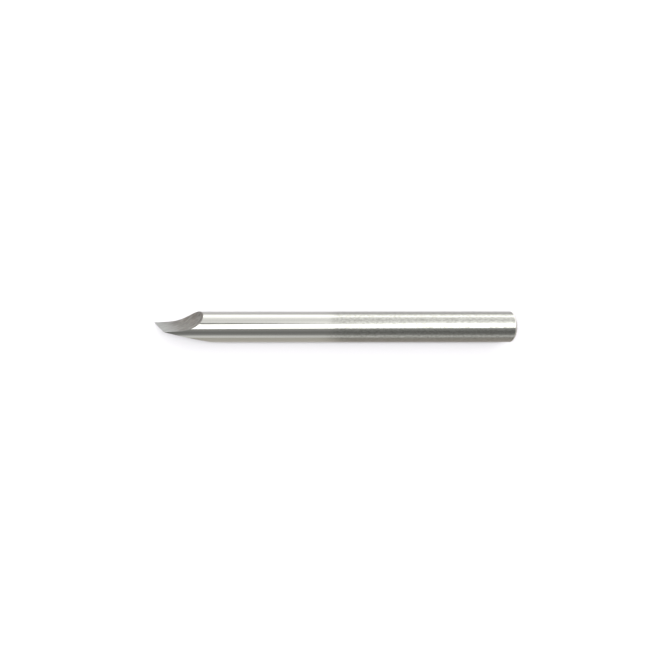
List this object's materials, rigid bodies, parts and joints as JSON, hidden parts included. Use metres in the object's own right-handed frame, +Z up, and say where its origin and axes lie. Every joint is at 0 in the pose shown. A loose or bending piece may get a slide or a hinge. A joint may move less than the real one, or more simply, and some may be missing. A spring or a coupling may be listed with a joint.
{
  "type": "chip carving blade bit",
  "caption": "Round steel blade bit for chip carving: a plain shank with a chamfered butt, ground at the other end to a skewed cutting point with a hollow behind its face.",
  "frame": {"origin": "centre of the flat butt face of the shank", "axes": "+X out of the butt along the shank, so the cutting point is towards -X; +Y is the side that the blade face looks to; +Z is up as the bit lies on a table"},
  "size_m": [0.071, 0.006, 0.006],
  "materials": {
    "ground_tool_steel": "centreless-ground hardened steel, with coarser wheel marks on the blade face and its hollow"
  },
  "bodies": {
    "root": {"blade_bit": "ground_tool_steel"}
  },
  "joints": []
}
